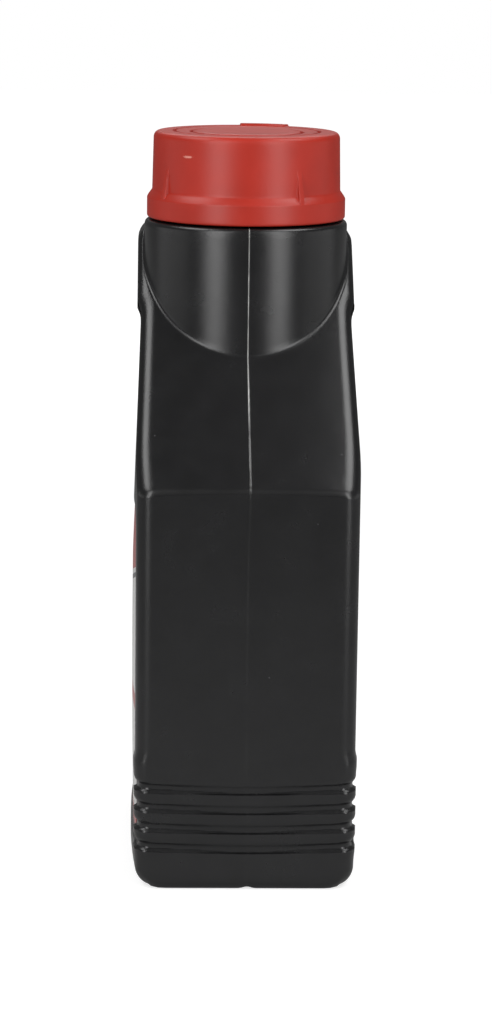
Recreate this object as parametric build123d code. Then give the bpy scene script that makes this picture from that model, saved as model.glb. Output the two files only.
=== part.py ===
from build123d import *

import os
from math import cos, radians, tan

# A one-litre motor oil bottle: a blow-moulded bottle, its screw cap with a sealing wad, and two labels.
# Millimetres, +Z up. The origin is the middle of the footprint, on the surface that the bottle stands on.
# X runs through the bottle's thickness and Y along its width. The shoulder slopes down towards -Y.

# ---- bottle body
BODY_WIDTH = 102.0            # along Y
CORNER_HALF = 33.0            # half the thickness at the upright corners
CROWN = 2.0                   # how far each wide face bows out in the middle
CORNER_R = 5.0                # upright corners
CORNER_LEAST_R = 1.0          # corners of outlines that lie far inside the body
BASE_R = 6.5                  # rounding of the foot
WALL = 1.2                    # blown wall
FOOT_INSET = 9.0              # from the outline to the raised middle of the base
FOOT_RISE = 2.0               # height of that raised middle

# ---- sloped shoulder and the collar beside the neck
BODY_TOP = 194.0
SLOPE_RISE = 70.6             # from the crease on the narrow side up to the top of the body
SLOPE_ANGLE = 43.6            # from horizontal
COLLAR_PROUD = 0.75           # how far the collar stands out past the corners
COLLAR_HEIGHT = 23.2          # from the collar's lower edge to the top of the body
COLLAR_STEP = 2.0             # height of the slant that joins the collar to the face below
SHOULDER_IN = 0.4             # how far the faces have leaned in just under the collar
WAIST = 95.0                  # height above which the wide faces lean in
SLOPE_EDGE_R = 4.5
TOP_EDGE_R = 4.5

# ---- neck column and neck finish
COLLAR_LEDGE = 2.05           # from the collar in to the column
COLUMN_RISE = 3.2             # how far the column stands up above the body
COLUMN_EDGE_R = 1.5
COLUMN_ROOT = 0.4             # how far the column starts below the slope
THREAD_SPACE = 1.6            # between the neck and the cap's bore, where the thread is
NECK_WALL = 1.6
NECK_LIP_R = 0.5

# ---- grooves in the foot of both narrow sides
GROOVE_COUNT = 4
GROOVE_FIRST = 11.5           # lower edge of the lowest groove
GROOVE_HEIGHT = 2.75
GROOVE_PITCH = 6.15
GROOVE_DEPTH = 0.9
GROOVE_REACH = 9.0            # how far each groove runs back around the corners

# ---- label panels and labels
PANEL_LOW = 12.0
PANEL_DROP = 7.4              # from the foot of the slope down to the panel
PANEL_SIDE = 8.0              # from each narrow side to the panel
PANEL_DEPTH = 0.9
PANEL_CORNER_R = 8.0
LABEL_THICK = 0.15
LABEL_MARGIN = 2.5            # bare panel left around the label

# ---- cap
CAP_GAP = 0.6                 # between the column's top and the cap's skirt
CAP_HEIGHT = 26.7
CAP_WALL = 1.8
CAP_TOP_THICK = 1.8
CAP_DRAFT = 0.4               # how much narrower the cap is at its top
CAP_EDGE_R = 1.8
FLANGE_LEDGE = 0.7            # from the column in to the skirt
FLANGE_PROUD = 1.6            # how far the skirt stands out past the cap's wall
FLANGE_HEIGHT = 6.4
FLANGE_SLANT = 2.2
FLANGE_EDGE_R = 0.6
LINER_THICK = 1.2
LINER_GAP = 0.3
RIB_COUNT = 4
RIB_WIDTH = 1.65
RIB_TOP = 18.1                # above the skirt's lower edge
RIB_ROOT = 0.5                # how far each rib starts inside the cap's wall
RIB_TURN = 32.0               # first rib, from -Y towards +X
RING_INSETS = (6.4, 11.7)     # from the cap's wall in to the two grooves in its top
RING_WIDTH = 0.9
RING_DEPTH = 0.6
PAD_OUTER_INSET = 2.0         # from the cap's wall in to the raised pad
PAD_INNER_INSET = 5.2
PAD_FROM = -3.0               # from +Y towards +X
PAD_TO = 31.0
PAD_HEIGHT = 0.6

# ---- places worked out from the sizes above: the column fills the bottle's thickness, and the cap follows it
HALF_WIDTH = BODY_WIDTH / 2
COLLAR_HALF = CORNER_HALF + COLLAR_PROUD
SHOULDER_HALF = CORNER_HALF - SHOULDER_IN
COLLAR_FOOT = BODY_TOP - COLLAR_HEIGHT
SLOPE_FOOT = BODY_TOP - SLOPE_RISE
COLUMN_R = COLLAR_HALF - COLLAR_LEDGE
COLUMN_TOP = BODY_TOP + COLUMN_RISE
NECK_Y = HALF_WIDTH - COLLAR_HALF
COLUMN_FOOT = SLOPE_FOOT + (NECK_Y - COLUMN_R + HALF_WIDTH) * tan(radians(SLOPE_ANGLE)) - COLUMN_ROOT
FLANGE_R = COLUMN_R - FLANGE_LEDGE
FLANGE_BORE_R = FLANGE_R - CAP_WALL
CAP_R_LOW = FLANGE_R - FLANGE_PROUD
CAP_R_HIGH = CAP_R_LOW - CAP_DRAFT
CAP_BORE_R = CAP_R_HIGH - CAP_WALL
NECK_R = CAP_BORE_R - THREAD_SPACE
NECK_BORE_R = NECK_R - NECK_WALL
CAP_BOTTOM = COLUMN_TOP + CAP_GAP
CAP_TOP = CAP_BOTTOM + CAP_HEIGHT
CAP_CEILING = CAP_TOP - CAP_TOP_THICK
NECK_TOP = CAP_CEILING - LINER_THICK
PANEL_HIGH = SLOPE_FOOT - PANEL_DROP
PANEL_HALF_WIDTH = HALF_WIDTH - PANEL_SIDE
FAR = 200.0                   # well clear of the object
CLEAR = 1.0                   # how far a cutting tool runs past the surface that it cuts
NEAR_ENOUGH = 0.01


def plan_face(inset):
    """The body seen from above: two straight narrow sides and two bowed wide faces."""
    x = CORNER_HALF - inset
    y = HALF_WIDTH - inset
    right = ThreePointArc((x, -y), (x + CROWN, 0), (x, y))
    left = ThreePointArc((-x, y), (-x - CROWN, 0), (-x, -y))
    outline = Curve() + [right, Line((x, y), (-x, y)), left, Line((-x, -y), (x, -y))]
    face = make_face(outline)
    return fillet(face.vertices(), max(CORNER_R - inset, CORNER_LEAST_R))


def plan_prism(inset, low, high):
    return Pos(0, 0, low) * extrude(plan_face(inset), high - low)


def wide_face_limit(inset):
    """The outline seen along Y, which leans the wide faces in and steps out again at the collar."""
    half = [
        (CORNER_HALF + CROWN - inset, -CLEAR),
        (CORNER_HALF + CROWN - inset, WAIST),
        (SHOULDER_HALF - inset, COLLAR_FOOT - COLLAR_STEP),
        (COLLAR_HALF - inset, COLLAR_FOOT),
        (COLLAR_HALF - inset, BODY_TOP + CLEAR),
    ]
    outline = half + [(-x, z) for x, z in reversed(half)]
    return extrude(Plane.XZ * make_face(Polyline(*outline, close=True)), FAR, both=True)


def slope_foot(inset):
    """Height at which the slope meets the narrow side, both moved inwards by inset."""
    return SLOPE_FOOT + inset * tan(radians(SLOPE_ANGLE)) - inset / cos(radians(SLOPE_ANGLE))


def side_limit(inset):
    """The outline seen along X, with the sloped shoulder."""
    near = -HALF_WIDTH + inset
    top = BODY_TOP - inset
    foot = slope_foot(inset)
    crest = near + (top - foot) / tan(radians(SLOPE_ANGLE))
    far = HALF_WIDTH - inset
    outline = [(near, inset), (near, foot), (crest, top), (far, top), (far, inset)]
    return extrude(Plane.YZ * make_face(Polyline(*outline, close=True)), FAR, both=True)


def on_slope(edge, inset):
    """True for an edge that lies in the plane of the sloped shoulder."""
    run = 1 / tan(radians(SLOPE_ANGLE))
    near = -HALF_WIDTH + inset
    foot = slope_foot(inset)
    spots = [edge.position_at(t) for t in (0.0, 0.5, 1.0)]
    return all(abs((p.Y - near) - (p.Z - foot) * run) < NEAR_ENOUGH for p in spots)


def at_height(edge, height):
    """True for an edge that lies flat at this height."""
    return all(abs(edge.position_at(t).Z - height) < NEAR_ENOUGH for t in (0.0, 0.5, 1.0))


def body_form(inset):
    """The body with its rounded edges and label panels, every face moved inwards by inset."""
    top = BODY_TOP - inset
    body = plan_prism(inset, inset, top) & wide_face_limit(inset) & side_limit(inset)
    rim = [e for e in body.edges() if at_height(e, top) and not on_slope(e, inset)]
    body = fillet(rim, TOP_EDGE_R - inset)
    body = fillet([e for e in body.edges() if on_slope(e, inset)], SLOPE_EDGE_R - inset)
    body = fillet([e for e in body.edges() if at_height(e, inset)], BASE_R - inset)
    for side in (-1, 1):
        body -= panel_prism(-inset, side) - plan_prism(PANEL_DEPTH + inset, 0, BODY_TOP)
    return body - plan_prism(FOOT_INSET - inset, -CLEAR, FOOT_RISE + inset)


def panel_prism(margin, side):
    """A block with the rounded outline of a label panel, standing across one wide face."""
    height = PANEL_HIGH - PANEL_LOW - 2 * margin
    width = 2 * (PANEL_HALF_WIDTH - margin)
    outline = RectangleRounded(width, height, PANEL_CORNER_R - margin / 2)
    middle = (PANEL_LOW + PANEL_HIGH) / 2
    return Pos(side * CORNER_HALF, 0, middle) * extrude(Plane.YZ * outline, CORNER_HALF / 2, both=True)


def grooves():
    """Bands around both narrow sides, cut as deep as GROOVE_DEPTH."""
    bands = []
    for index in range(GROOVE_COUNT):
        low = GROOVE_FIRST + index * GROOVE_PITCH
        high = low + GROOVE_HEIGHT
        ring = plan_prism(-CLEAR, low, high) - plan_prism(GROOVE_DEPTH, low, high)
        middle = Pos(0, 0, low) * Box(FAR, BODY_WIDTH - 2 * GROOVE_REACH, FAR)
        bands.append(ring - middle)
    return bands


def upright(radius, low, high):
    """A cylinder on the neck's axis."""
    return Pos(0, NECK_Y, low) * Cylinder(radius, high - low, align=(Align.CENTER, Align.CENTER, Align.MIN))


def make_bottle():
    body = body_form(0)
    for band in grooves():
        body -= band
    column = upright(COLUMN_R, COLUMN_FOOT, COLUMN_TOP)
    column = fillet(column.edges().group_by(Axis.Z)[-1], COLUMN_EDGE_R)
    neck = upright(NECK_R, BODY_TOP, NECK_TOP)
    neck = fillet(neck.edges().group_by(Axis.Z)[-1], NECK_LIP_R)
    return body + column + neck - cavity()


def cavity():
    """The space inside: the body's form and the column's, each one wall further in, and the neck's bore."""
    inside = body_form(WALL)
    band_top = GROOVE_FIRST + (GROOVE_COUNT - 1) * GROOVE_PITCH + GROOVE_HEIGHT + WALL
    band = plan_prism(0, GROOVE_FIRST - WALL, band_top) - plan_prism(GROOVE_DEPTH + WALL, 0, BODY_TOP)
    inside -= band - Box(FAR, BODY_WIDTH - 2 * (GROOVE_REACH + WALL), FAR)
    inside += upright(COLUMN_R - WALL, COLUMN_FOOT, COLUMN_TOP - WALL)
    return inside + upright(NECK_BORE_R, COLUMN_FOOT, NECK_TOP + CLEAR)


def make_label(side):
    skin = plan_prism(PANEL_DEPTH - LABEL_THICK, PANEL_LOW, PANEL_HIGH) - plan_prism(PANEL_DEPTH, 0, BODY_TOP)
    return skin & panel_prism(LABEL_MARGIN, side)


def turned(points):
    """A solid of revolution about the neck's axis from an outline of (radius, height) points."""
    face = make_face(Polyline(*points, close=True))
    return Pos(0, NECK_Y, 0) * revolve(Plane.XZ * face, Axis.Z)


def make_cap():
    flange_top = CAP_BOTTOM + FLANGE_HEIGHT
    wall_foot = flange_top + FLANGE_SLANT
    shell = turned([
        (0, CAP_TOP), (CAP_R_HIGH, CAP_TOP), (CAP_R_LOW, wall_foot), (FLANGE_R, flange_top),
        (FLANGE_R, CAP_BOTTOM), (FLANGE_BORE_R, CAP_BOTTOM), (FLANGE_BORE_R, flange_top - CAP_WALL),
        (CAP_BORE_R, flange_top), (CAP_BORE_R, CAP_CEILING), (0, CAP_CEILING),
    ])
    rim = [e for e in shell.edges().filter_by(GeomType.CIRCLE)
           if abs(e.radius - CAP_R_HIGH) < NEAR_ENOUGH and at_height(e, CAP_TOP)]
    shell = fillet(rim, CAP_EDGE_R)
    skirt = [e for e in shell.edges().filter_by(GeomType.CIRCLE)
             if abs(e.radius - FLANGE_R) < NEAR_ENOUGH and at_height(e, CAP_BOTTOM)]
    shell = fillet(skirt, FLANGE_EDGE_R)
    for ring_inset in RING_INSETS:
        inner = CAP_R_HIGH - ring_inset - RING_WIDTH / 2
        outer = inner + RING_WIDTH
        high, low = CAP_TOP + CLEAR, CAP_TOP - RING_DEPTH
        shell -= turned([(inner, high), (outer, high), (outer, low), (inner, low)])
    root = CAP_R_HIGH - RIB_ROOT
    outline = [(root, CAP_BOTTOM + RIB_TOP), (FLANGE_R, flange_top), (root, flange_top)]
    wedge = make_face(Polyline(*outline, close=True))
    for index in range(RIB_COUNT):
        turn = -90.0 + RIB_TURN + index * 360.0 / RIB_COUNT
        rib = extrude(Plane.XZ * wedge, RIB_WIDTH / 2, both=True)
        shell += Pos(0, NECK_Y, 0) * Rot(0, 0, turn) * rib
    return shell + top_pad()


def top_pad():
    """A low plain pad on the rim of the cap's top."""
    outer = CAP_R_HIGH - PAD_OUTER_INSET
    ring = Circle(outer) - Circle(CAP_R_HIGH - PAD_INNER_INSET)
    edge = 2 * outer
    wedge = Polygon(
        (0, 0), (edge * cos(radians(90 - PAD_FROM)), edge * cos(radians(PAD_FROM))),
        (edge * cos(radians(90 - PAD_TO)), edge * cos(radians(PAD_TO))), align=None)
    return Pos(0, NECK_Y, CAP_TOP - RING_DEPTH) * extrude(ring & wedge, RING_DEPTH + PAD_HEIGHT)


def make_liner():
    return upright(CAP_BORE_R - LINER_GAP, NECK_TOP, CAP_CEILING)


PARTS = {
    "bottle": make_bottle,
    "cap": make_cap,
    "cap_liner": make_liner,
    "front_label": lambda: make_label(-1),
    "back_label": lambda: make_label(1),
}

os.makedirs("parts", exist_ok=True)
for name, make in PARTS.items():
    shape = make()
    export_step(shape, f"parts/{name}.step")
    print(name, round(shape.volume, 1))
print("brimful ml", round(cavity().volume / 1000, 1))
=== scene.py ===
import math

import bpy
import numpy as np
from bpy.props import FloatProperty, FloatVectorProperty, IntProperty, PointerProperty
from mathutils import Matrix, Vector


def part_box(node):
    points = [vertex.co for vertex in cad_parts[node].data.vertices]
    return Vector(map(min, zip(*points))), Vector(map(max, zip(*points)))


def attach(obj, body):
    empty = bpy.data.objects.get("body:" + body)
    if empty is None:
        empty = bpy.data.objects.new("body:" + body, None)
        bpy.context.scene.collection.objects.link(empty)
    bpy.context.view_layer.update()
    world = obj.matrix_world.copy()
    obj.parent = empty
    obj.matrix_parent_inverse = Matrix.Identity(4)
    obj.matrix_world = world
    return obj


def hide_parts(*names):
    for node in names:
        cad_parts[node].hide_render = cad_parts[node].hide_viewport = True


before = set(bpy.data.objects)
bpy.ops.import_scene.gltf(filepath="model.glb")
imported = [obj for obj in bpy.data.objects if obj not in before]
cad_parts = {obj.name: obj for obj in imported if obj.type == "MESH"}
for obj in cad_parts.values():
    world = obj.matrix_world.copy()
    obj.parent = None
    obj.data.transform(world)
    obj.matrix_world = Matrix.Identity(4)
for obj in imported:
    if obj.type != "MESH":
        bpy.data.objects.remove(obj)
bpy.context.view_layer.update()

bl_info = {
    "name": "Motor oil bottle",
    "version": (1, 0, 0),
    "blender": (4, 5, 0),
    "location": "3D View > Sidebar > Oil bottle",
    "description": "Builds the bottle, its screw cap and its labels around the packed model",
    "category": "Object",
}

MM = 0.001
BOTTLE_LOW, BOTTLE_HIGH = (np.array(corner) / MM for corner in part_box("bottle"))
CAP_LOW, CAP_HIGH = (np.array(corner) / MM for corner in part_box("cap"))
LINER_LOW, LINER_HIGH = (np.array(corner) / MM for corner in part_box("cap_liner"))
LABEL_LOW, LABEL_HIGH = (np.array(corner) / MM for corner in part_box("front_label"))
NECK_Y = (CAP_LOW[1] + CAP_HIGH[1]) / 2         # the neck's axis stands here, at x = 0
HALF_WIDTH = (BOTTLE_HIGH[1] - BOTTLE_LOW[1]) / 2
HALF_THICKNESS = (BOTTLE_HIGH[0] - BOTTLE_LOW[0]) / 2
NECK_TOP = BOTTLE_HIGH[2]
HALF_TURN = math.pi
FULL_TURN = 2 * math.pi
QUARTER_TURN = math.pi / 2

# Where the parts of the bottle begin and end.
EDGE_BLEND = 0.35               # rounds over the line where two faces of the bottle cross
COLLAR_STEP = (-2.2, 0.4)       # the slant under the collar, from the collar's foot
NARROW_FROM, NARROW_FULL = 41.0, 43.5   # along Y: past this a point belongs to a narrow side
SLOPE_END = (184, 165)          # heights over which the slope's fall fades in, downwards
LEDGE_BLEND = 1.2               # rounds over where the slope meets the ledge
STANDING_RING = ((10.2, 2.0), (9.6, 1.85), (9.1, 1.2), (8.8, 0.5), (8.4, 0.1), (8.0, 0.0))
BASE_RISE = 2.0                 # height of the base's raised middle
THREAD_TURNS = 2


# ---------------------------------------------------------------- values a user would change

def linear(hex_colour):
    """An sRGB hex colour such as #c0281e as linear red, green and blue."""
    parts = [int(hex_colour[i:i + 2], 16) / 255 for i in (1, 3, 5)]
    return [p / 12.92 if p <= 0.04045 else ((p + 0.055) / 1.055) ** 2.4 for p in parts]


def length(name, description, millimetres):
    """A size in metres whose default is given in millimetres."""
    return FloatProperty(name=name, description=description, default=millimetres * MM,
                         unit="LENGTH", precision=5)


def colour(name, description, hex_colour):
    """A colour whose default is given as sRGB hex."""
    return FloatVectorProperty(name=name, description=description, default=linear(hex_colour),
                               size=3, min=0.0, max=1.0, subtype="COLOR")


class BottleSizes(bpy.types.PropertyGroup):
    """Sizes of the blow-moulded bottle."""
    crown: length("Crown", "How far each wide face bows out in the middle", 2.0)
    corner: length("Corner radius", "Radius of the upright corners", 5.0)
    foot: length("Foot radius", "Rounding where the wide faces meet the base", 6.5)
    foot_near: length("Narrow foot radius", "Rounding where the narrow sides meet the base", 2.2)
    edge: length("Edge radius", "Rounding along the sides of the slope and the ledge", 4.8)
    crease: length("Crease radius", "Rounding where a narrow side turns over on to the slope", 1.3)
    wall: length("Wall", "Thickness of the blown wall", 1.2)
    slope_foot: length("Slope foot", "Height where the sloped shoulder begins", 123.4)
    slope_angle: FloatProperty(name="Slope", description="Slope of the shoulder from horizontal",
                               default=math.radians(43.6), subtype="ANGLE")
    body_top: length("Body top", "Height of the ledge around the neck column", 194.0)
    waist: length("Waist", "Height above which the wide faces lean in", 95.0)
    shoulder_half: length("Shoulder half", "Half thickness just under the collar", 32.6)
    collar_half: length("Collar half", "Half thickness of the collar", 33.75)
    collar_foot: length("Collar foot", "Height of the collar's lower edge", 170.8)
    column: length("Column radius", "Radius of the neck column", 31.7)
    column_top: length("Column top", "Height of the neck column", 197.2)
    neck: length("Neck radius", "Outside of the neck under the thread", 25.6)
    bore: length("Neck bore", "Radius of the mouth", 24.0)
    panel_depth: length("Panel depth", "Depth of the label panels", 0.9)
    panel_margin: length("Panel margin", "Bare panel left around each label", 2.5)
    panel_corner: length("Panel corner", "Corner radius of the label panels", 8.0)
    label_corner: length("Label corner", "Corner radius of the labels", 6.5)
    bulge: length("Bulge", "How far each label panel swells in its middle", 0.6)
    slope_fall: length("Slope fall", "How far the sloped shoulder falls towards its sides", 1.2)
    sink: length("Sink", "How far the narrow sides sink in their middle", 0.15)
    flash: length("Flash", "Height of the mould flash along the parting line", 0.3)
    notch: length("Notch", "Height of the nick that the pinch-off leaves in the foot", 0.6)


class GrooveSizes(bpy.types.PropertyGroup):
    """Sizes of the grooves in the foot of the narrow sides."""
    count: IntProperty(name="Count", description="Number of grooves", default=4, min=1, max=8)
    first: length("First", "Height of the lowest groove's lower edge", 11.5)
    height: length("Height", "Height of one groove", 2.75)
    pitch: length("Pitch", "From one groove to the next", 6.15)
    depth: length("Depth", "Depth of a groove", 1.0)
    proud: length("Proud", "How far the beads stand out at the corners", 0.35)
    lift: length("Lift", "How far each groove rises from its middle to the corners", 1.0)


class CapSizes(bpy.types.PropertyGroup):
    """Sizes of the screw cap."""
    wall: length("Wall", "Wall of the cap", 1.8)
    low: length("Lower radius", "Outside radius just above the skirt", 29.4)
    high: length("Upper radius", "Outside radius at the top", 29.0)
    skirt: length("Skirt height", "Height of the wide skirt at the bottom", 6.4)
    slant: length("Skirt slant", "Height of the slant above the skirt", 2.2)
    edge: length("Top edge", "Rounding of the top edge", 1.8)
    rib_top: length("Rib height", "Top of the ribs above the skirt's lower edge", 18.1)
    rib_width: length("Rib width", "Width of each rib", 1.65)
    pad: length("Pad height", "Height of the raised pad on the top", 0.6)
    pitch: length("Thread pitch", "Rise of the thread in one turn", 4.0)
    thread: length("Thread height", "Height of the thread's ridge", 1.0)


class Colours(bpy.types.PropertyGroup):
    """Colours of the finishes."""
    hdpe: colour("Black polyethylene", "The bottle", "#131314")
    # This colour also paints the faint highlight along the crease at the foot of the slope.
    hdpe_worn: colour("Whitened flash", "Mould flash where it is torn and whitened", "#e4e4e0")
    cap: colour("Red polypropylene", "The cap", "#ab2514")
    foam: colour("Foamed polyethylene", "The sealing wad", "#e9e8e2")
    film: colour("Label film", "Ground of the labels", "#e6e6e4")
    print_red: colour("Red print", "Red fields of the labels", "#b3261b")
    print_grey: colour("Grey print", "Dark fields of the labels", "#3a3b3f")


class OilBottleSettings(bpy.types.PropertyGroup):
    """Everything that a user would change."""
    bottle: PointerProperty(type=BottleSizes)
    groove: PointerProperty(type=GrooveSizes)
    cap: PointerProperty(type=CapSizes)
    colours: PointerProperty(type=Colours)


class Millimetres:
    """Reads a group of sizes in millimetres."""

    def __init__(self, group):
        self.group = group

    def __getattr__(self, name):
        value = getattr(self.group, name)
        prop = self.group.bl_rna.properties[name]
        return value / MM if prop.unit == "LENGTH" else value


def settings():
    return bpy.context.scene.oil_bottle


# ---------------------------------------------------------------- mesh helpers

def smooth(low, high, value):
    """0 below low, 1 above high, and a smooth step between. low may be above high."""
    t = np.clip((np.asarray(value, float) - low) / (high - low), 0, 1)
    return t * t * (3 - 2 * t)


def soft_min(a, b, blend):
    """The smaller of two values, rounded over where they cross."""
    h = np.clip(0.5 + 0.5 * (b - a) / blend, 0, 1)
    return b + (a - b) * h - blend * h * (1 - h)


def wobble(values, size, seed):
    """Smooth noise between -1 and 1 along a list of lengths, with features about this size."""
    rng = np.random.default_rng(seed)
    values = np.asarray(values, float)
    total = np.zeros_like(values)
    for octave in range(3):
        wave = FULL_TURN * 1.9 ** octave / size
        fast = np.sin(values * wave + rng.uniform(0, 6.28))
        slow = np.sin(values * wave * 0.37 + rng.uniform(0, 6.28))
        total += fast * slow
    return total / 1.8


def add_piece(name, points, faces):
    """A smooth-shaded mesh object in the scene from points in millimetres."""
    mesh = bpy.data.meshes.new(name)
    mesh.from_pydata((np.asarray(points) * MM).tolist(), [], faces)
    mesh.polygons.foreach_set("use_smooth", [True] * len(faces))
    mesh.update()
    piece = bpy.data.objects.new(name, mesh)
    bpy.context.scene.collection.objects.link(piece)
    return piece


def closed_grid(name, rows, masks=None):
    """A closed mesh from rings of points, with a pole at each end and values on its points."""
    count = len(rows[0])
    points = np.concatenate(rows + [[rows[0].mean(axis=0), rows[-1].mean(axis=0)]])
    first_pole = len(rows) * count
    last_ring = first_pole - count
    faces = []
    for low in range(0, last_ring, count):
        high = low + count
        for j in range(count):
            k = (j + 1) % count
            faces.append((low + j, low + k, high + k, high + j))
    for j in range(count):
        k = (j + 1) % count
        faces.append((k, j, first_pole))
        faces.append((last_ring + j, last_ring + k, first_pole + 1))
    piece = add_piece(name, points, faces)
    for key, values in (masks or {}).items():
        attribute = piece.data.attributes.new(key, "FLOAT", "POINT")
        flat = np.concatenate(values + [[0, 0]])
        attribute.data.foreach_set("value", flat.astype(np.float32))
    return piece


def neck_ring(out, radius, height):
    """A ring about the neck's axis, with a point in each of the directions out from it."""
    spot = out * np.reshape(radius, (-1, 1)) + [0, NECK_Y]
    return np.column_stack([spot, np.broadcast_to(height, (len(out),))])


def grid_normals(rows):
    """Unit normals of a grid of rings, pointing out of the material."""
    grid = np.stack(rows)
    along = np.roll(grid, -1, axis=1) - np.roll(grid, 1, axis=1)
    across = np.gradient(grid, axis=0)
    normal = np.cross(along, across)
    size = np.linalg.norm(normal, axis=2, keepdims=True)
    return normal / np.maximum(size, 1e-9)


def thread_height(angle, height, low, turns, pitch, width):
    """Height, from 0 to 1, of a helical ridge at this angle about the neck and this height."""
    best = np.zeros(np.broadcast(angle, height).shape)
    run_out = 0.35
    last = turns * FULL_TURN
    for turn in range(turns + 2):
        travel = angle + FULL_TURN * turn
        centre = low + pitch * travel / FULL_TURN
        ridge = smooth(width, width * 0.45, np.abs(height - centre))
        ends = smooth(0, run_out, travel) * smooth(last, last - run_out, travel)
        best = np.maximum(best, ridge * ends)
    return best


# ---------------------------------------------------------------- the bottle

class BottleForm:
    """Works out the bottle's surface as rings of points that follow its corners and edges."""

    def __init__(self):
        self.s = Millimetres(settings().bottle)
        self.g = Millimetres(settings().groove)
        self.rise = math.tan(self.s.slope_angle)
        self.outline()

    def outline(self):
        """The plan of the body: points and normals, from the near side's middle round by +X.

        The columns stand closer together at the parting line and around the corners.
        """
        s = self.s
        self.corner_half = HALF_THICKNESS - s.crown
        bow = 2 * s.crown / HALF_WIDTH ** 2
        centre_y = HALF_WIDTH - s.corner
        tilt = math.atan(bow * centre_y * 1.008)
        touch_y = centre_y + s.corner * math.sin(tilt)
        touch_x = self.bowed(touch_y)
        centre_x = touch_x - s.corner * math.cos(tilt)
        parting = [0.0, 0.1, 0.22, 0.42, 0.8, 1.5]
        flat = parting + list(np.linspace(2.6, centre_x, 13))
        near = [(x, -HALF_WIDTH, 0.0, -1.0) for x in flat]
        corner = []
        for angle in np.linspace(-QUARTER_TURN, -tilt, 10)[1:-1]:
            c, d = math.cos(angle), math.sin(angle)
            corner.append((centre_x + s.corner * c, -centre_y + s.corner * d, c, d))
        edge = [touch_y, touch_y - 0.9, touch_y - 1.8, 43.7, 43.2, 42.8, 42.3, 41.5, 40.5]
        half = edge + [39.5, 38.3, 37.0, 35.5, 34.0] + list(np.linspace(32, 0, 17))
        side_y = [-y for y in half] + half[:-1][::-1]
        side = []
        for y in side_y:
            dx = -bow * y
            size = math.hypot(1, dx)
            side.append((self.bowed(y), y, 1 / size, -dx / size))
        quarter = near + corner + side
        back = [(x, -y, nx, -ny) for x, y, nx, ny in corner[::-1] + near[::-1]]
        right = quarter + back
        left = [(-x, y, -nx, ny) for x, y, nx, ny in right[1:-1][::-1]]
        plan = np.array(right + left)
        self.x, self.y, self.nx, self.ny = plan.T
        self.count = len(plan)
        size_x, size_y = np.abs(self.x), np.abs(self.y)
        self.narrow = smooth(NARROW_FROM, NARROW_FULL, size_y)
        self.flat_weight = np.clip(1 - size_x / centre_x, 0, 1) * (size_y > HALF_WIDTH - 0.01)
        self.at_corner = smooth(8, 26, size_x) * smooth(40.0, 44.0, size_y)
        self.ridge = np.select([size_x < 0.05, size_x < 0.15, size_x < 0.3], [1.0, 0.8, 0.25], 0)

    def bowed(self, y):
        """Half thickness of the bowed wide faces at this place along the width."""
        return self.corner_half + self.s.crown * (1 - (y / HALF_WIDTH) ** 2)

    def side_limit(self, z):
        """Half thickness that the wide faces are held to at height z."""
        s = self.s
        lean = np.clip((z - s.waist) / (s.collar_foot - 2 - s.waist), 0, 1)
        lean *= HALF_THICKNESS - s.shoulder_half
        step = smooth(s.collar_foot + COLLAR_STEP[0], s.collar_foot + COLLAR_STEP[1], z)
        return (HALF_THICKNESS - lean) * (1 - step) + s.collar_half * step

    def half_thickness(self, y, z):
        """Half thickness of the body at this place along its width and this height."""
        return soft_min(self.bowed(y), self.side_limit(z), EDGE_BLEND)

    def panel(self, z):
        """1 inside a label panel, 0 outside it."""
        corner, margin = self.s.panel_corner, self.s.panel_margin
        middle = (LABEL_HIGH + LABEL_LOW) / 2
        half = (LABEL_HIGH - LABEL_LOW) / 2 + margin - corner
        across = np.abs(self.y) - half[1]
        up = np.abs(z - middle[2]) - half[2]
        outside = np.hypot(np.maximum(across, 0), np.maximum(up, 0))
        distance = outside + np.minimum(np.maximum(across, up), 0) - corner
        return smooth(0.7, -0.7, distance) * (np.abs(self.nx) > 0.9)

    def swell(self, y, z):
        """The pillow shape that a filled bottle gives its label panels, from 0 to 1."""
        middle, reach_up, reach_across = 72.0, 62.0, 46.0
        up = np.clip(1 - ((z - middle) / reach_up) ** 2, 0, 1)
        return up * np.clip(1 - (y / reach_across) ** 2, 0, 1)

    def groove(self, z):
        """Depth of the grooves at height z: each has a sharp ledge below and a soft upper edge."""
        g = self.g
        depth = np.zeros_like(z)
        for index in range(g.count):
            ledge = g.first + index * g.pitch
            top = ledge + g.height
            floor = 0.9 + 0.1 * smooth(ledge + 0.4, top, z)
            inside = smooth(ledge - 0.14, ledge + 0.08, z) * smooth(top + 0.9, top - 1.6, z)
            depth = np.maximum(depth, inside * floor)
        return depth * g.depth

    def groove_height(self, z):
        """Height as the grooves see it: they rise a little from the middle to the corners."""
        flat_half = 27.0
        share = np.clip(np.abs(self.x) / flat_half, 0, 1.1) ** 2
        return z - self.g.lift * share * smooth(4.0, 10.0, z)

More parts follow.
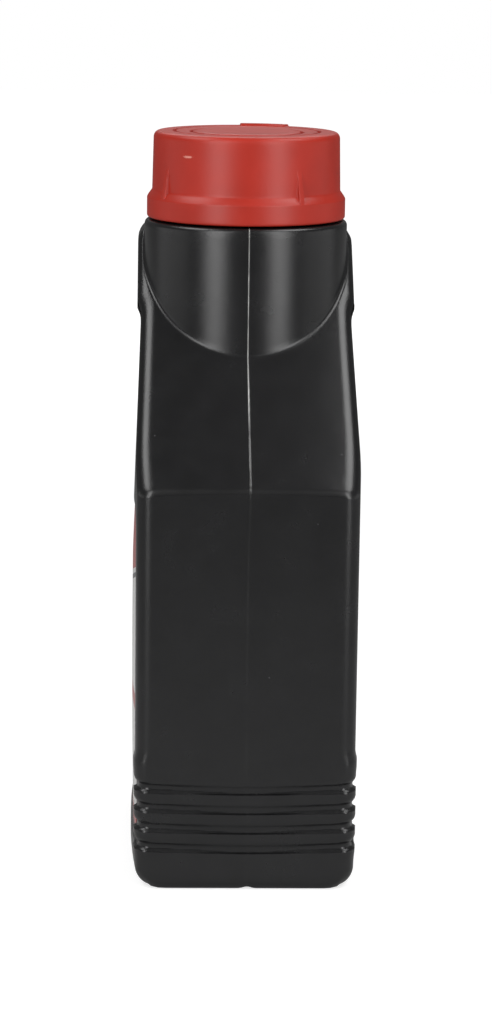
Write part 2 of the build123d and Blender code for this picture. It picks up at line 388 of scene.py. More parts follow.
    def wall_ring(self, z, inset=0.0):
        """One ring of the upright walls. Both values are one number or one for each column."""
        s, g = self.s, self.g
        z = np.broadcast_to(np.asarray(z, float), (self.count,))
        plain = np.ndim(inset) == 0 and inset == 0
        limit = self.side_limit(z)
        size = soft_min(np.abs(self.x), limit, EDGE_BLEND)
        near_side = np.abs(self.x) > s.shoulder_half - 4
        x = np.sign(self.x) * np.where(near_side, size, np.abs(self.x))
        out = -np.asarray(inset) * np.ones(self.count)
        if plain:
            level = self.groove_height(z)
            groove = self.groove(level)
            out -= groove * self.narrow + s.sink * self.flat_weight
            top = g.first + g.count * g.pitch
            beads = smooth(top + 4.6, top + 3.2, level) * smooth(6.0, 11.0, level)
            last_bead = 1 + 0.4 * smooth(top - 1.5, top + 0.5, level)
            standing = 1 - np.clip(groove / g.depth, 0, 1)
            out += g.proud * beads * last_bead * self.at_corner * standing
        pillow = s.bulge * self.swell(self.y, z) - s.panel_depth
        sag = pillow * self.panel(z) * np.abs(self.nx)
        shift = self.wander(z) * self.flat_weight * (self.y < 0)
        y = np.clip(self.y + self.ny * out, -HALF_WIDTH, HALF_WIDTH)
        return np.stack([x + self.nx * (out + sag) + shift, y, z], axis=1)

    def wander(self, z):
        """How far the parting line strays from the middle of the near side."""
        shiver = 0.08 * wobble(z, 9.0, 11) * smooth(110, 130, z)
        return 0.85 * smooth(60, 5, z) + 0.4 * smooth(100, 122, z) + shiver

    def top_height(self, x, y, inset=0.0):
        """Height of the sloped shoulder and the ledge behind it, with their rounded sides."""
        s = self.s
        slope = s.slope_foot + self.rise * (y + HALF_WIDTH) - inset / math.cos(s.slope_angle)
        plane = soft_min(slope, s.body_top - inset, LEDGE_BLEND)
        radius = s.edge - inset
        half = self.half_thickness(y, plane - radius) - inset
        past_side = np.clip(np.abs(x) - (half - radius), 0, radius)
        past_end = np.clip(y - (HALF_WIDTH - inset - radius), 0, radius)
        past = np.clip(np.hypot(past_side, past_end), 0, radius)
        fall = s.slope_fall * np.clip(x / half, -1, 1) ** 4 * smooth(*SLOPE_END, plane)
        return plane - fall - radius + np.sqrt(radius ** 2 - past ** 2)

    def crease_radius(self):
        """Rounding where each column turns over, on top of the rounding of the shoulder's sides."""
        least = 0.12
        facing = np.clip(-self.ny, 0, 1)
        return least + (self.s.crease - least) * smooth(0.25, 0.8, facing)

    def shoulder_rings(self, inset=0.0):
        """From the top of the walls in to the neck column, inset by the wall for the inner skin."""
        s = self.s
        crease = self.crease_radius()
        column = s.column - inset
        edge = self.wall_ring(s.slope_foot - 6, inset)
        for _ in range(4):
            height = self.top_height(edge[:, 0], edge[:, 1], inset) - crease
            edge = self.wall_ring(height, inset)
        away = edge[:, :2] - [0, NECK_Y]
        reach = np.linalg.norm(away, axis=1)
        toward = -away / reach[:, None]
        span = np.maximum(reach - column, 0.05)
        fillet = np.minimum(0.8, span * 0.3)
        rounded = np.clip(np.abs(self.nx) + np.clip(self.ny, 0, 1), 0, 1)
        turn = crease + (s.edge - inset - crease) * smooth(0.3, 0.9, rounded)
        turn = np.minimum(turn, span - fillet)

        def ring(distance, lift):
            spot = edge[:, :2] + toward * distance[:, None]
            rest = np.clip(crease - distance, 0, None)
            drop = crease - np.sqrt(np.clip(crease ** 2 - rest ** 2, 0, None))
            height = self.top_height(spot[:, 0], spot[:, 1], inset) - drop + lift
            return np.column_stack([spot, height])

        rings = [edge]
        for t in np.linspace(0, QUARTER_TURN, 15)[1:]:
            rings.append(ring(turn * (1 - math.cos(t)), 0))
        for t in np.linspace(0, 1, 28)[1:]:
            rings.append(ring(turn + (span - fillet - turn) * t, 0))
        for t in np.linspace(0, QUARTER_TURN, 6)[1:]:
            rings.append(ring(span - fillet * (1 - math.sin(t)), fillet * (1 - math.cos(t))))
        return rings, toward

    def outer_rows(self):
        """The outer skin from the base up to the neck, and each column's direction there."""
        s, g = self.s, self.g
        rings = self.foot_rings()
        steps = [-0.3, -0.16, -0.1, -0.03, 0.04, 0.12, 0.3]     # across the sharp ledge
        steps += [0.8, 1.2, 1.6, 2.0, 2.4, 2.8, 3.2, 3.6, 4.2, 5.0]
        heights = list(np.linspace(s.foot, g.first - 0.6, 6))
        for index in range(g.count):
            heights += [g.first + index * g.pitch + step for step in steps]
        panel_high = LABEL_HIGH[2] + s.panel_margin
        heights += list(np.linspace(heights[-1] + 1.0, panel_high - 4.0, 38))
        heights += [panel_high + step for step in (-2.0, -0.8, -0.3, 0.2, 0.7, 2.0)]
        rings += [self.wall_ring(z) for z in heights]
        shoulder, toward = self.shoulder_rings()
        low = heights[-1]
        for t in np.linspace(0, 1, 58)[1:-1]:
            rings.append(self.wall_ring(low + (shoulder[0][:, 2] - low) * t))
        rings += shoulder
        out = -toward
        column_foot = shoulder[-1][:, 2]
        rim, root = 1.5, 0.8        # roundings of the column's top edge and of the neck's root
        top = s.column_top - rim
        for t in np.linspace(0, 1, 20)[1:]:
            rings.append(neck_ring(out, s.column, column_foot + (top - column_foot) * t))
        for t in np.linspace(0, QUARTER_TURN, 6)[1:]:
            radius = s.column - rim + rim * math.cos(t)
            rings.append(neck_ring(out, radius, top + rim * math.sin(t)))
        rings.append(neck_ring(out, s.neck + 2 * root, s.column_top))
        for t in np.linspace(0, QUARTER_TURN, 5):
            height = s.column_top + root * (1 - math.cos(t))
            rings.append(neck_ring(out, s.neck + root * (1 - math.sin(t)), height))
        return rings, out

    def foot_rings(self):
        """The base: raised middle, standing ring and rounded foot."""
        s = self.s
        rings = [self.floor_ring(share, BASE_RISE) for share in (0.08, 0.3, 0.6, 0.85)]
        for inset, z in STANDING_RING:
            rings.append(self.wall_ring(z, inset) * [1, 1, 0] + [0, 0, z])
        radius = s.foot_near + (s.foot - s.foot_near) * smooth(25.0, 31.5, np.abs(self.x))
        notch = s.notch * smooth(2.4, 0.2, np.abs(self.x)) * (np.abs(self.y) > HALF_WIDTH - 1)
        for t in np.linspace(0, QUARTER_TURN, 13)[:-1]:
            ring = self.wall_ring(s.foot, radius * (1 - math.sin(t)))
            above = (s.foot - radius) * smooth(0.75, 1, t / QUARTER_TURN)
            ring[:, 2] = radius * (1 - math.cos(t)) + above + notch * math.cos(t) ** 2
            rings.append(ring)
        return rings

    def floor_ring(self, share, height):
        """A ring inside the standing ring, at this share of the way out from its middle."""
        return self.wall_ring(self.s.foot) * [share * 0.7, share * 0.78, 0] + [0, 0, height]

    def neck_rows(self, out):
        """The threaded neck finish, its lip and the bore."""
        s = self.s
        cap = Millimetres(settings().cap)
        angle = np.arctan2(out[:, 1], out[:, 0]) % FULL_TURN
        thread_low, ridge_half, step = 207.0, 0.95, 0.42
        rings = []
        for z in np.arange(s.column_top + 1.2, NECK_TOP - 0.6, step):
            ridge = thread_height(angle, z, thread_low, THREAD_TURNS, cap.pitch, ridge_half)
            rings.append(neck_ring(out, s.neck + cap.thread * ridge, z))
        middle = (s.neck + s.bore) / 2
        half = (s.neck - s.bore) / 2
        for t in np.linspace(0, HALF_TURN, 8):
            height = NECK_TOP - half * (1 - math.sin(t))
            rings.append(neck_ring(out, middle + half * math.cos(t), height))
        for z in np.linspace(NECK_TOP - half - 1, s.column_top - s.wall, 8):
            rings.append(neck_ring(out, s.bore, z))
        return rings

    def inner_rows(self):
        """The inner skin, from the underside of the column's top down to the floor."""
        s = self.s
        shoulder, toward = self.shoulder_rings(s.wall)
        out = -toward
        top = s.column_top - s.wall
        rings = [neck_ring(out, s.bore + 1.5, top),
                 neck_ring(out, s.column - s.wall - 1.0, top)]
        foot = shoulder[-1][:, 2]
        for t in np.linspace(0, 1, 7):
            height = top - 0.8 + (foot - top + 0.8) * t
            rings.append(neck_ring(out, s.column - s.wall, height))
        rings += shoulder[::-1][1::3]
        start = shoulder[0][:, 2]
        skin = s.wall + self.g.depth * 0.6
        for t in np.linspace(0, 1, 22):
            rings.append(self.wall_ring(start + (s.foot - start) * t, skin))
        radius = s.foot - s.wall
        floor = [(skin + radius * (1 - math.cos(t)), s.wall + radius * (1 - math.sin(t)))
                 for t in np.linspace(0, QUARTER_TURN, 5)[1:]]
        for inset, z in floor + [(9.0, s.wall + 0.4), (10.5, s.wall + BASE_RISE)]:
            rings.append(self.wall_ring(s.foot, inset) * [1, 1, 0] + [0, 0, z])
        return rings + [self.floor_ring(share, s.wall + BASE_RISE) for share in (0.6, 0.3, 0.08)]

    def flash_height(self, rings):
        """Height of the parting line's flash on each ring, and how white it is."""
        middle = np.stack(rings)[:, 0, :]
        steps = np.linalg.norm(np.diff(middle, axis=0), axis=1)
        travel = np.concatenate([[0], np.cumsum(steps)])
        z = middle[:, 2]
        ragged = 0.75 + 0.35 * wobble(travel, 5.0, 3) + 0.25 * wobble(travel, 1.6, 5)
        face = 0.12 * smooth(4, 12, z) + 0.05 * smooth(34, 42, z)
        slope = 0.33 * smooth(118, 130, z) + 0.5 * smooth(138, 146, z)
        white = 0.007 + 0.06 * smooth(120, 126, z) + 0.933 * smooth(139, 146, z)
        white -= 0.3 * smooth(168, 190, z)
        return (face + slope) * np.clip(ragged, 0.2, 1.2), white * np.clip(ragged + 0.1, 0.4, 1.2)

    def painted_crease_highlight(self, rings):
        """Painted highlight along the crease at the foot of the slope, on every point: a faint pale
        line on the near narrow side.
        """
        below = self.s.slope_foot - np.stack(rings)[:, :, 2]
        on_crease = smooth(1.1, 0.3, np.abs(below - 0.4))
        return 0.005 * on_crease * (self.y < 0) * (np.abs(self.ny) > 0.9)


def build_bottle():
    form = BottleForm()
    rows, out = form.outer_rows()
    height, white = form.flash_height(rows)
    near = form.ridge * (form.y < 0)
    far = form.ridge * (form.y > 0) * 0.5
    lift = form.s.flash * height[:, None] * (near + far)
    normals = grid_normals(rows)
    rows = [ring + normal * amount[:, None] for ring, normal, amount in zip(rows, normals, lift)]
    # The flash values hold the whitened flash and, along the crease at the foot of the slope, a
    # faint painted highlight.
    flash_whitening_and_highlight = np.maximum(white[:, None] * (near + far * 0.4), form.painted_crease_highlight(rows))
    rest = form.neck_rows(out) + form.inner_rows()
    flash = list(flash_whitening_and_highlight) + [np.zeros(form.count)] * len(rest)
    return closed_grid("bottle_shell", rows + rest, {"flash": flash})


# ---------------------------------------------------------------- the cap

RIB_COUNT = 4
FIRST_RIB = 32.0                # degrees, from -Y towards +X
PAD_FROM, PAD_TO = 59.0, 93.0   # degrees, from +X towards +Y
RING_GROOVES = (22.6, 17.3)     # radii of the two grooves in the cap's top


def cap_columns():
    """Angles of the cap's columns from +X, closer together where ribs and the pad end."""
    cap = Millimetres(settings().cap)
    half = math.degrees(cap.rib_width / 2 / cap.low)
    angles = set(np.round(np.arange(0, 360, 3.0), 3))
    ribs = [(-90 + FIRST_RIB + index * 360 / RIB_COUNT) % 360 for index in range(RIB_COUNT)]
    fine = [half * share for share in (0, 0.5, 0.84, 0.9, 0.97, 1.03, 1.1, 1.3, 1.8)]
    keep = {angle for angle in angles
            if all(abs((angle - rib + 180) % 360 - 180) > half * 2.2 for rib in ribs)}
    for rib in ribs:
        for step in fine:
            keep |= {round((rib + step) % 360, 3), round((rib - step) % 360, 3)}
    for edge in (PAD_FROM, PAD_TO):
        keep = {angle for angle in keep if abs(angle - edge) > 0.9}
        keep |= {edge - 0.35, edge, edge + 0.35}
    return np.radians(sorted(keep)), np.radians(ribs)


def build_cap():
    cap = Millimetres(settings().cap)
    angles, ribs = cap_columns()
    out = np.column_stack([np.cos(angles), np.sin(angles)])
    low, top = CAP_LOW[2], CAP_HIGH[2] - cap.pad
    wide = (CAP_HIGH[0] - CAP_LOW[0]) / 2
    skirt_top = low + cap.skirt
    wall_foot = skirt_top + cap.slant

    def ring(radius, height):
        return neck_ring(out, radius, height)

    between = (angles[:, None] - ribs[None, :] + HALF_TURN) % FULL_TURN - HALF_TURN
    nearest = np.min(np.abs(between), axis=1)
    rib_half = cap.rib_width / 2 / cap.low
    rib_mask = smooth(rib_half * 1.1, rib_half * 0.9, nearest)
    turned = np.degrees(angles)
    pad_mask = smooth(PAD_FROM - 0.3, PAD_FROM + 0.2, turned)
    pad_mask *= smooth(PAD_TO + 0.3, PAD_TO - 0.2, turned)

    def wall(height):
        """The cap's wall with its draft, and the wedge ribs that widen down to the skirt."""
        draft = cap.low + (cap.high - cap.low) * (height - wall_foot) / (top - wall_foot)
        share = np.clip((low + cap.rib_top - height) / (cap.rib_top - cap.skirt), 0, 1)
        sunk = 0.35
        rib = draft - sunk + (wide + sunk - draft) * share
        return draft + np.maximum(rib - draft, 0) * rib_mask

    rows = [ring(wide - cap.wall, low + 0.4), ring(wide - cap.wall + 0.3, low)]
    lip = 0.7
    for t in np.linspace(0, QUARTER_TURN, 6):
        rows.append(ring(wide - lip + lip * math.sin(t), low + lip * (1 - math.cos(t))))
    for z in np.linspace(low + 1.4, skirt_top - 0.5, 6):
        rows.append(ring(wide, z))
    slant_angle = math.atan2(wide - cap.low, cap.slant)
    turn = 0.8
    for t in np.linspace(0, slant_angle, 5):
        height = skirt_top - turn / 2 + turn * math.sin(t)
        rows.append(ring(wide - turn + turn * math.cos(t), height))
    for share in (0.3, 0.55, 0.8, 0.95):
        z = skirt_top + cap.slant * share
        plain = wide + (cap.low - wide) * share
        rows.append(ring(np.maximum(plain, wall(z)), z))
    for z in np.linspace(wall_foot + 0.25, top - cap.edge, 24):
        rows.append(ring(wall(z), z))
    for t in np.linspace(0, QUARTER_TURN, 9)[1:]:
        radius = cap.high - cap.edge + cap.edge * math.cos(t)
        rows.append(ring(radius, top - cap.edge + cap.edge * math.sin(t)))

    def top_ring(radius):
        """A ring of the top face, with its circular grooves, shallow dish and raised pad."""
        dip = sum(0.75 * smooth(0.55, 0.28, abs(radius - centre)) for centre in RING_GROOVES)
        between_grooves = smooth(22.4, 20.5, radius) - smooth(17.0, 15.5, radius)
        dish = 0.25 * between_grooves + 0.2 * smooth(14, 0, radius)
        pad = cap.pad * pad_mask * smooth(23.7, 24.0, radius) * smooth(27.1, 26.8, radius)
        return ring(radius, top - dip - dish + pad)

    radii = [27.15, 27.1, 26.95, 26.8, 26.0, 25.0, 24.1, 24.0, 23.85, 23.7, 23.3]
    radii += [23.15, 23.0, 22.88, 22.6, 22.32, 22.2, 22.05, 21.4, 20.5, 19.0, 18.2]
    radii += [17.85, 17.7, 17.58, 17.3, 17.02, 16.9, 16.75, 16.2, 15.5]
    radii += [13.0, 10.0, 7.0, 4.0, 1.5]
    outside = rows + [top_ring(radius) for radius in radii]
    ceiling = LINER_HIGH[2]
    bore = (LINER_HIGH[0] - LINER_LOW[0]) / 2 + 0.3
    rows = [ring(radius, ceiling) for radius in (1.5, 8.0, 16.0, 24.0, bore - 0.5)]
    rows.append(ring(bore, ceiling - 0.5))
    thread_low, ridge_half, step = 205.0, 0.75, 0.42
    for z in np.arange(ceiling - 1.6, skirt_top + 0.2, -step):
        ridge = thread_height(angles, z, thread_low, THREAD_TURNS, cap.pitch, ridge_half)
        rows.append(ring(bore - cap.thread * ridge, z))
    inside = wide - cap.wall
    rows += [ring(bore, skirt_top), ring(inside, skirt_top - cap.wall), ring(inside, low + 2.0)]
    return closed_grid("cap_shell", rows + outside)


# ---------------------------------------------------------------- the labels

def build_label(name, side):
    """A thin sheet on its swollen label panel. side is -1 for the front and 1 for the back."""
    form = BottleForm()
    corner = form.s.label_corner
    middle = (LABEL_HIGH[2] + LABEL_LOW[2]) / 2
    half_y, half_z = (LABEL_HIGH[1:] - LABEL_LOW[1:]) / 2
    across, up = 60, 72
    y, z = np.meshgrid(np.linspace(-1, 1, across) * half_y, np.linspace(-1, 1, up) * half_z)
    over_y = np.maximum(np.abs(y) - (half_y - corner), 0)
    over_z = np.maximum(np.abs(z) - (half_z - corner), 0)
    both = np.hypot(over_y, over_z)
    shrink = np.where(both > 0, np.maximum(over_y, over_z) / np.maximum(both, 1e-9), 1)
    y = np.sign(y) * (np.abs(y) - over_y + over_y * shrink)
    z = np.sign(z) * (np.abs(z) - over_z + over_z * shrink) + middle
    skin = form.half_thickness(y, z) - form.s.panel_depth + form.s.bulge * form.swell(y, z)
    sheets = [np.stack([side * (skin + lift), y, z], axis=2) for lift in (0.16, 0.02)]
    total = across * up
    faces = []
    for i in range(up - 1):
        for j in range(across - 1):
            a = i * across + j
            front = (a, a + 1, a + across + 1, a + across)
            faces += [front, tuple(k + total for k in front[::-1])]
    grid = np.arange(total).reshape(up, across)
    rim = np.concatenate([grid[0], grid[1:, -1], grid[-1, -2::-1], grid[-2:0:-1, 0]]).tolist()
    faces += [(a, a + total, b + total, b) for a, b in zip(rim, rim[1:] + rim[:1])]
    if side < 0:
        faces = [face[::-1] for face in faces]
    piece = add_piece(name, np.concatenate(sheets).reshape(-1, 3), faces)
    piece.data.set_sharp_from_angle(angle=math.radians(40))
    return piece


# ---------------------------------------------------------------- materials

DUST_COLOUR = "#5b5b5c"
NICK_COLOUR = "#dc8c7e"
GLOSS_SHARE = 0.05      # of the white surroundings, as satin plastics reflect them


def add(tree, kind, inputs=None, **options):
    """Adds a node. inputs maps sockets to a value or to the socket that feeds them."""
    node = tree.nodes.new(kind)
    for key, value in options.items():
        setattr(node, key, value)
    for key, value in (inputs or {}).items():
        if isinstance(value, bpy.types.NodeSocket):
            tree.links.new(value, node.inputs[key])
        else:
            node.inputs[key].default_value = value
    return node


def new_material(name):
    """A material, its empty tree and the socket that gives a point's place on the object."""
    material = bpy.data.materials.new(name)
    material.use_nodes = True
    tree = material.node_tree
    tree.nodes.clear()
    return material, tree, add(tree, "ShaderNodeTexCoord").outputs["Object"]


def finish_plastic(tree, inputs):
    """Puts a plastic surface with these inputs at the material's output."""
    shader = add(tree, "ShaderNodeBsdfPrincipled", inputs)
    add(tree, "ShaderNodeOutputMaterial", {"Surface": shader.outputs["BSDF"]})


def rgba(colour_value):
    return (*colour_value, 1.0)


def maths(tree, operation, *values):
    """What a maths node makes of these values."""
    node = add(tree, "ShaderNodeMath", dict(enumerate(values)), operation=operation)
    return node.outputs["Value"]


def vector_maths(tree, operation, *values):
    """What a vector maths node makes of these values."""
    node = add(tree, "ShaderNodeVectorMath", dict(enumerate(values)), operation=operation)
    return node.outputs["Value" if operation == "LENGTH" else "Vector"]


def noise(tree, place, millimetres, detail=2.0, roughness=0.5):
    """Noise whose features are about this many millimetres across."""
    return add(tree, "ShaderNodeTexNoise", {
        "Vector": place, "Scale": 1 / (millimetres * MM),
        "Detail": detail, "Roughness": roughness}).outputs["Fac"]


def cells(tree, place, millimetres):
    """A node of cells about this many millimetres across."""
    inputs = {"Vector": place, "Scale": 1 / (millimetres * MM)}
    return add(tree, "ShaderNodeTexVoronoi", inputs, feature="F1")


def ramp(tree, value, low, high, first=0.0, last=1.0):
    """first up to low, last beyond high and a straight run between them."""
    inputs = {"Value": value, "From Min": low, "From Max": high, "To Min": first, "To Max": last}
    return add(tree, "ShaderNodeMapRange", inputs, clamp=True).outputs["Result"]


def blend(tree, factor, first, second):
    """first where the factor is 0 and second where it is 1."""
    inputs = {0: factor, 6: first, 7: second}
    return add(tree, "ShaderNodeMix", inputs, data_type="RGBA").outputs[2]


def clouded(tree, clouds, hue, dark, light):
    """The hue, made darker and lighter by these shares in soft clouds."""
    return blend(tree, ramp(tree, clouds, 0.35, 0.7), rgba([value * dark for value in hue]),
                 rgba([min(value * light, 1) for value in hue]))


def bump(tree, height, strength, millimetres, under=None):
    """The normal of a bump this many millimetres high, on top of another normal if one is given."""
    inputs = {"Height": height, "Strength": strength, "Distance": millimetres * MM}
    if under is not None:
        inputs["Normal"] = under
    return add(tree, "ShaderNodeBump", inputs).outputs["Normal"]


def black_polyethylene():
    """Carbon-black HDPE from a blasted mould: a grey satin with a fine grain, slow waves and dust.

    The mesh's flash values say where the flash is torn and pale, and where a faint painted
    highlight runs along the crease at the foot of the slope.
    """
    c = settings().colours
    material, tree, place = new_material("black_hdpe_blow_moulded")
    clouds = noise(tree, place, 9.0, 4.0)
    specks = cells(tree, place, 7.0)
    picked = add(tree, "ShaderNodeSeparateColor", {"Color": specks.outputs["Color"]})
    dust = maths(tree, "MULTIPLY", ramp(tree, specks.outputs["Distance"], 0.045, 0.02),
                 ramp(tree, picked.outputs["Red"], 0.9, 0.92))
    flash = add(tree, "ShaderNodeAttribute", attribute_name="flash").outputs["Fac"]
    shade = clouded(tree, clouds, c.hdpe, 0.85, 1.15)
    shade = blend(tree, dust, shade, rgba(linear(DUST_COLOUR)))
    # Whitened flash, and a faint painted highlight along the crease at the foot of the slope, from
    # the mesh's flash values.
    shade = blend(tree, flash, shade, rgba(c.hdpe_worn))
    normal = bump(tree, noise(tree, place, 16.0), 0.35, 0.25)
    normal = bump(tree, noise(tree, place, 0.55, 3.0, 0.65), 0.9, 0.04, normal)
    gloss = ramp(tree, clouds, 0, 1, 0.24, 0.29)
    finish_plastic(tree, {"Base Color": shade, "Roughness": gloss, "IOR": 1.52, "Normal": normal})
    return material


def nick(tree, place, grain):
    """1 inside a small ragged nick on the cap's wall, 0 outside it."""
    x, z, wall_radius = -18.5, 218.0, 29.1
    middle = [v * MM for v in (x, NECK_Y - math.sqrt(wall_radius ** 2 - x ** 2), z)]
    reach = [1 / (v * MM) for v in (1.7, 4, 0.5)]
    distance = vector_maths(tree, "SUBTRACT", place, middle)
    distance = vector_maths(tree, "MULTIPLY", distance, reach)
    distance = vector_maths(tree, "LENGTH", distance)
    return ramp(tree, maths(tree, "MULTIPLY_ADD", grain, 1.6, distance), 1.7, 1.3)


def red_polypropylene():
    """Pigmented PP, injection-moulded: a warm even red, satin, with faint flow clouds."""
    c = settings().colours
    material, tree, place = new_material("red_pp_injection_moulded")
    clouds = noise(tree, place, 14.0, 3.0)
    grain = noise(tree, place, 0.5, 2.0, 0.6)
    shade = clouded(tree, clouds, c.cap, 0.93, 1.06)
    shade = blend(tree, nick(tree, place, grain), shade, rgba(linear(NICK_COLOUR)))
    normal = bump(tree, noise(tree, place, 7.0), 0.3, 0.12)
    normal = bump(tree, grain, 0.4, 0.02, normal)
    gloss = ramp(tree, clouds, 0, 1, 0.36, 0.44)
    finish_plastic(tree, {"Base Color": shade, "Roughness": gloss, "IOR": 1.49, "Normal": normal})
    return material


def foamed_polyethylene():
    """Foamed PE wad: soft white, matt, with fine closed cells."""
    c = settings().colours
    material, tree, place = new_material("foamed_pe_wad")
    depth = cells(tree, place, 0.7).outputs["Distance"]
    shade = blend(tree, ramp(tree, depth, 0.2, 0.7), rgba(c.foam), rgba([v * 0.9 for v in c.foam]))
    normal = bump(tree, depth, 0.4, 0.05)
    finish_plastic(tree, {"Base Color": shade, "Roughness": 0.75, "Normal": normal})
    return material


def label_film(name, bands):
    """Printed polypropylene film: glossy, with flat fields of colour.

    Each band is its lower and upper height in millimetres, its slant and its colour.
    """
    material, tree, place = new_material(name)
    split = add(tree, "ShaderNodeSeparateXYZ", {"Vector": place})
    shade = rgba(settings().colours.film)
    for low, high, slant, hue in bands:
        height = maths(tree, "MULTIPLY_ADD", split.outputs["Y"], slant, split.outputs["Z"])
        inside = maths(tree, "MULTIPLY", maths(tree, "GREATER_THAN", height, low * MM),
                       maths(tree, "LESS_THAN", height, high * MM))
        shade = blend(tree, inside, shade, rgba(hue))
    normal = bump(tree, noise(tree, place, 12.0), 0.3, 0.1)
    finish_plastic(tree, {"Base Color": shade, "Roughness": 0.2, "IOR": 1.5, "Normal": normal})
    return material


# ---------------------------------------------------------------- operators

class OIL_OT_bottle(bpy.types.Operator):
    """Build the blow-moulded bottle in place of its plain solid"""
    bl_idname = "oil_bottle.bottle"
    bl_label = "Build the bottle"

    def execute(self, context):
        shell = build_bottle()
        shell.data.materials.append(black_polyethylene())
        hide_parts("bottle")
        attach(shell, "bottle")
        return {"FINISHED"}


class OIL_OT_cap(bpy.types.Operator):
    """Build the screw cap with its ribs, top grooves and inner thread"""
    bl_idname = "oil_bottle.cap"
    bl_label = "Build the cap"

    def execute(self, context):
        shell = build_cap()
        shell.data.materials.append(red_polypropylene())
        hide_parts("cap")
        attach(shell, "cap")
        return {"FINISHED"}


class OIL_OT_liner(bpy.types.Operator):
    """Finish the sealing wad inside the cap"""
    bl_idname = "oil_bottle.liner"
    bl_label = "Finish the sealing wad"

    def execute(self, context):
        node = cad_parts["cap_liner"]
        node.data.materials.clear()
        node.data.materials.append(foamed_polyethylene())
        return {"FINISHED"}


class OIL_OT_labels(bpy.types.Operator):
    """Build the two labels as thin sheets on their panels"""
    bl_idname = "oil_bottle.labels"
    bl_label = "Build the labels"

    def execute(self, context):
        c = settings().colours
        front = [(88.0, 130.0, 0.25, c.print_red), (85.0, 86.5, 0.25, c.print_grey),
                 (52.0, 57.0, 0.0, c.print_red), (0.0, 20.0, 0.0, c.print_red)]
        back = [(98.0, 130.0, 0.0, c.print_red), (0.0, 24.0, 0.0, c.print_grey)]
        for name, side, bands in (("front_label", -1, front), ("back_label", 1, back)):
            sheet = build_label(name + "_sheet", side)
            sheet.data.materials.append(label_film("pp_film_" + name, bands))
            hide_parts(name)
            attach(sheet, "bottle")
        return {"FINISHED"}


class OIL_OT_stage(bpy.types.Operator):
    """Set up the white floor, the soft boxes, the world and the camera"""
    bl_idname = "oil_bottle.stage"
    bl_label = "Set the stage"

    def execute(self, context):
        scene = context.scene
        build_floor(scene)
        build_lights(scene)
        build_world(scene)
        build_camera(scene)
        scene.view_settings.view_transform = "Standard"
        return {"FINISHED"}


# ---------------------------------------------------------------- the stage

def build_floor(scene):
    """A floor that shows white to the camera and keeps the bottle's shadow, with painted shade in
    its grey: lighter near the bottle and far off, darker between.
    """
    size = 4.0
    corners = [(-size, -size, 0), (size, -size, 0), (size, size, 0), (-size, size, 0)]
    mesh = bpy.data.meshes.new("floor")
    mesh.from_pydata(corners, [], [(0, 1, 2, 3)])
    floor = bpy.data.objects.new("floor", mesh)
    scene.collection.objects.link(floor)
    material, tree, place = new_material("white_paper_sweep")
    away = vector_maths(tree, "LENGTH", place)
    # Painted shade on the floor: grey, lighter near the bottle and far off and darker in a band
    # between, so that the bottle reflects dark and light bands.
    near, middle, far = (rgba(linear(shade)) for shade in ("#b8b8b8", "#6c6c6c", "#c4c4c4"))
    painted_floor_shade = blend(tree, ramp(tree, away, 0.1, 0.65), near, middle)
    painted_floor_shade = blend(tree, ramp(tree, away, 0.7, 0.95), painted_floor_shade, far)
    shader = add(tree, "ShaderNodeBsdfPrincipled", {"Base Color": painted_floor_shade, "Roughness": 0.9})
    strength = ramp(tree, away, 0.15, 0.9, 0.72, 1.0)
    glow = add(tree, "ShaderNodeEmission", {"Color": (1, 1, 1, 1), "Strength": strength})
    plain = shader.outputs["BSDF"]
    both = add(tree, "ShaderNodeAddShader", {0: plain, 1: glow.outputs["Emission"]})
    seen = add(tree, "ShaderNodeMixShader", {
        0: seen_share(tree), 1: plain, 2: both.outputs["Shader"]})
    add(tree, "ShaderNodeOutputMaterial", {"Surface": seen.outputs["Shader"]})
    mesh.materials.append(material)


def build_lights(scene):
    """Upright soft boxes each side of the camera, and wider ones at the sides, above and behind.

    Each has a name, an azimuth from -Y, an elevation, a distance, a size and a power.
    """
    boxes = (
        ("soft_box_left", -35.0, 19.5, 0.8, (0.3, 0.8), 3.6),
        ("soft_box_right", 36.5, 19.5, 0.8, (0.3, 0.8), 3.5),
        ("soft_box_side_left", -92.0, 4.0, 1.0, (0.9, 0.34), 0.6),
        ("soft_box_side_right", 90.0, 4.0, 1.0, (0.9, 0.34), 0.6),
        ("soft_box_above_left", -88.0, 56.0, 1.1, (0.55, 0.42), 3.4),
        ("soft_box_above_right", 82.0, 59.5, 1.1, (0.55, 0.5), 4.3),
        ("soft_box_behind", 180.0, 40.0, 1.4, (1.0, 0.5), 4.0),
    )
    target = np.array([0.0, NECK_Y, 130.0]) * MM
    for name, azimuth, elevation, distance, size, power in boxes:
        lamp = bpy.data.lights.new(name, "AREA")
        lamp.shape = "RECTANGLE"
        lamp.size, lamp.size_y = size
        lamp.energy = power
        light = bpy.data.objects.new(name, lamp)
        light.visible_camera = False
        scene.collection.objects.link(light)
        turn = Matrix.Rotation(math.radians(azimuth), 4, "Z")
        turn @= Matrix.Rotation(math.radians(90 - elevation), 4, "X")
        back = Matrix.Translation((0, 0, distance))
        light.matrix_world = Matrix.Translation(target.tolist()) @ turn @ back


def seen_share(tree):
    """1 for rays from the camera or through something clear, and part of that for reflections."""
    path = add(tree, "ShaderNodeLightPath").outputs
    clear = maths(tree, "MAXIMUM", path["Is Camera Ray"], path["Is Transmission Ray"])
    return maths(tree, "MULTIPLY_ADD", path["Is Glossy Ray"], GLOSS_SHARE, clear)


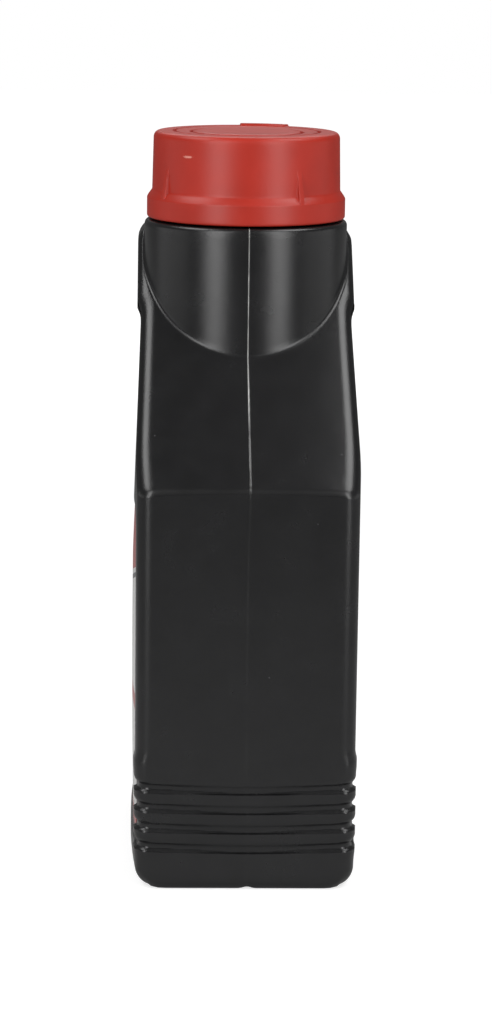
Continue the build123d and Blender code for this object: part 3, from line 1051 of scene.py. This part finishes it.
def build_world(scene):
    """White behind the bottle, and a dim even fill for the light that falls on it."""
    world = bpy.data.worlds.new("white_studio")
    scene.world = world
    world.use_nodes = True
    tree = world.node_tree
    tree.nodes.clear()
    fill = add(tree, "ShaderNodeBackground", {"Color": (1, 1, 1, 1), "Strength": 0.08})
    white = add(tree, "ShaderNodeBackground", {"Color": (1, 1, 1, 1), "Strength": 1.0})
    mix = add(tree, "ShaderNodeMixShader", {
        0: seen_share(tree), 1: fill.outputs["Background"], 2: white.outputs["Background"]})
    add(tree, "ShaderNodeOutputWorld", {"Surface": mix.outputs["Shader"]})


def build_camera(scene):
    """Looks at the narrow side from a little above, 0.97 m away."""
    camera = bpy.data.cameras.new("camera")
    camera.sensor_fit = "VERTICAL"
    camera.sensor_height = 24.0
    camera.lens = 69.91
    camera.clip_start = 0.05
    view = bpy.data.objects.new("camera", camera)
    scene.collection.objects.link(view)
    heading = Matrix.Rotation(math.radians(-1.78), 4, "Z")
    pitch = Matrix.Rotation(math.radians(90 - 11.39), 4, "X")
    roll = Matrix.Rotation(math.radians(0.73), 4, "Z")
    place = Matrix.Translation((-27.8 * MM, -916.3 * MM, 291.6 * MM))
    view.matrix_world = place @ heading @ pitch @ roll
    scene.camera = view


# ---------------------------------------------------------------- panel and registration

OPERATORS = (OIL_OT_bottle, OIL_OT_cap, OIL_OT_liner, OIL_OT_labels, OIL_OT_stage)


class OIL_PT_panel(bpy.types.Panel):
    """Lists the steps that build the oil bottle"""
    bl_label = "Oil bottle"
    bl_idname = "OIL_PT_panel"
    bl_space_type = "VIEW_3D"
    bl_region_type = "UI"
    bl_category = "Oil bottle"

    def draw(self, context):
        for operator in OPERATORS:
            self.layout.operator(operator.bl_idname)
        for group in ("bottle", "groove", "cap", "colours"):
            values = getattr(context.scene.oil_bottle, group)
            box = self.layout.box()
            for key in values.__annotations__:
                box.prop(values, key)


CLASSES = (BottleSizes, GrooveSizes, CapSizes, Colours, OilBottleSettings, *OPERATORS, OIL_PT_panel)


def register():
    for cls in CLASSES:
        bpy.utils.register_class(cls)
    bpy.types.Scene.oil_bottle = PointerProperty(type=OilBottleSettings)


def unregister():
    del bpy.types.Scene.oil_bottle
    for cls in reversed(CLASSES):
        bpy.utils.unregister_class(cls)


def main():
    register()
    bpy.ops.oil_bottle.bottle()
    bpy.ops.oil_bottle.cap()
    bpy.ops.oil_bottle.liner()
    bpy.ops.oil_bottle.labels()
    bpy.ops.oil_bottle.stage()


if __name__ == "__main__":
    main()
